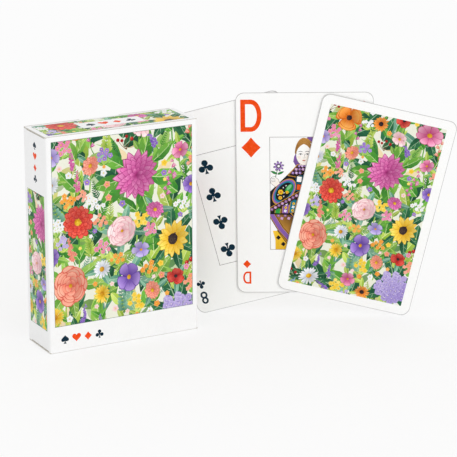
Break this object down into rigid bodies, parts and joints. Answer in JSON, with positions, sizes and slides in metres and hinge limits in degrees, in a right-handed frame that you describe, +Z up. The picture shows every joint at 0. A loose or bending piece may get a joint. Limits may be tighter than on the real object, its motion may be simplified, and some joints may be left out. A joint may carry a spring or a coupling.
{
  "type": "playing card deck",
  "caption": "Boxed playing card deck: a printed tuck carton with a hinged lid, tuck flap and dust flaps, the cards stacked inside, and loose cards fanned upright beside it.",
  "frame": {"origin": "middle of the carton's bottom face, which stands on the table", "axes": "+Z up, +X along the carton's width towards the fanned cards, -Y out of the printed front"},
  "size_m": [0.1718, 0.0664, 0.0983],
  "materials": {
    "carton_board": "satin",
    "card_stock": "satin"
  },
  "bodies": {
    "carton": {"carton_sleeve": "carton_board", "carton_bottom": "carton_board"},
    "lid": {"lid_panel": "carton_board"},
    "tuck_flap": {"lid_tuck_flap": "carton_board"},
    "left_flap": {"left_dust_flap": "carton_board"},
    "right_flap": {"right_dust_flap": "carton_board"},
    "deck": {"red_joker": "card_stock", "black_joker": "card_stock", "ace_of_spades": "card_stock", "two_of_spades": "card_stock", "three_of_spades": "card_stock", "four_of_spades": "card_stock", "five_of_spades": "card_stock", "six_of_spades": "card_stock", "seven_of_spades": "card_stock", "eight_of_spades": "card_stock", "nine_of_spades": "card_stock", "ten_of_spades": "card_stock", "jack_of_spades": "card_stock", "queen_of_spades": "card_stock", "king_of_spades": "card_stock", "two_of_hearts": "card_stock", "three_of_hearts": "card_stock", "four_of_hearts": "card_stock", "five_of_hearts": "card_stock", "six_of_hearts": "card_stock", "seven_of_hearts": "card_stock", "eight_of_hearts": "card_stock", "nine_of_hearts": "card_stock", "ten_of_hearts": "card_stock", "jack_of_hearts": "card_stock", "queen_of_hearts": "card_stock", "king_of_hearts": "card_stock", "ace_of_diamonds": "card_stock", "two_of_diamonds": "card_stock", "three_of_diamonds": "card_stock", "four_of_diamonds": "card_stock", "five_of_diamonds": "card_stock", "six_of_diamonds": "card_stock", "seven_of_diamonds": "card_stock", "eight_of_diamonds": "card_stock", "nine_of_diamonds": "card_stock", "ten_of_diamonds": "card_stock", "jack_of_diamonds": "card_stock", "king_of_diamonds": "card_stock", "ace_of_clubs": "card_stock", "two_of_clubs": "card_stock", "three_of_clubs": "card_stock", "four_of_clubs": "card_stock", "five_of_clubs": "card_stock", "six_of_clubs": "card_stock", "seven_of_clubs": "card_stock", "nine_of_clubs": "card_stock", "ten_of_clubs": "card_stock", "jack_of_clubs": "card_stock", "queen_of_clubs": "card_stock", "king_of_clubs": "card_stock"},
    "queen": {"queen_of_diamonds": "card_stock"},
    "eight": {"eight_of_clubs": "card_stock"},
    "ace": {"ace_of_hearts": "card_stock"}
  },
  "joints": [
    {"name": "lid_hinge", "type": "hinge", "parent": "carton", "child": "lid", "pos_m": [0, -0.01082, 0.09108], "axis": [1, 0, 0], "range_deg": [0, 150]},
    {"name": "tuck_crease", "type": "hinge", "parent": "lid", "child": "tuck_flap", "pos_m": [0, 0.00965, 0.09085], "axis": [-1, 0, 0], "range_deg": [0, 63]},
    {"name": "left_flap_crease", "type": "hinge", "parent": "carton", "child": "left_flap", "pos_m": [-0.03372, 0, 0.09043], "axis": [0, -1, 0], "range_deg": [0, 45]},
    {"name": "right_flap_crease", "type": "hinge", "parent": "carton", "child": "right_flap", "pos_m": [0.03372, 0, 0.09043], "axis": [0, 1, 0], "range_deg": [0, 45]},
    {"name": "deck_lift", "type": "slide", "parent": "carton", "child": "deck", "axis": [0, 0, 1], "range_m": [0, 0.0006]},
    {"name": "fan_settle", "type": "slide", "parent": "carton", "child": "queen", "axis": [0, 0, -1], "range_m": [0, 0.0092]},
    {"name": "eight_swivel", "type": "hinge", "parent": "queen", "child": "eight", "pos_m": [0.08751, -0.0178, -0.06292], "axis": [0.5, 0.866, 0], "range_deg": [0, 14.05]},
    {"name": "ace_swivel", "type": "hinge", "parent": "queen", "child": "ace", "pos_m": [0.07506, -0.01199, -0.05945], "axis": [-0.5, -0.866, 0], "range_deg": [0, 13.5]}
  ],
  "couplings": [
    {"joint": "tuck_crease", "follows": "lid_hinge", "ratio": 0.42},
    {"joint": "left_flap_crease", "follows": "lid_hinge", "ratio": 0.3},
    {"joint": "right_flap_crease", "follows": "lid_hinge", "ratio": 0.3},
    {"joint": "eight_swivel", "follows": "fan_settle", "rad_per_m": 26.65},
    {"joint": "ace_swivel", "follows": "fan_settle", "rad_per_m": 25.61}
  ]
}
